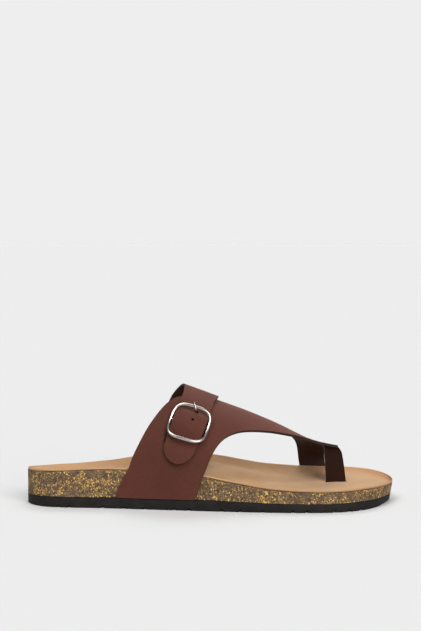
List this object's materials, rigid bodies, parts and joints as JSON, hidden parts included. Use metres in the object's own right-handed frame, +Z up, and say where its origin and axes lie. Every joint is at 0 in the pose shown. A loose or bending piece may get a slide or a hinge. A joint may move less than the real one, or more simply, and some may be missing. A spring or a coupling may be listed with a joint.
{
  "type": "toe post sandal",
  "caption": "Brown leather toe post sandal with a buckled instep strap, a toe loop, a dished tan insole, a cork footbed and a dark grooved outsole.",
  "frame": {"origin": "on the floor under the middle of the shoe's box", "axes": "+X from heel to toe, +Y to the inner side of the foot, +Z up"},
  "size_m": [0.265, 0.0959, 0.0855],
  "materials": {
    "outsole_foam": "matte near-black foam rubber, moulded",
    "cork": "pressed granulated cork, sealed, matte",
    "insole_suede": "tan suede lining, matte with a short nap",
    "brown_leather": "dark reddish brown leather, fine grain, half matte, dark cut edges",
    "buckle_metal": "polished silver coloured wire"
  },
  "bodies": {
    "root": {"outsole": "outsole_foam", "footbed": "cork", "insole": "insole_suede", "upper": "brown_leather", "instep_strap": "brown_leather", "buckle_frame": "buckle_metal", "buckle_prong": "buckle_metal"}
  },
  "joints": []
}
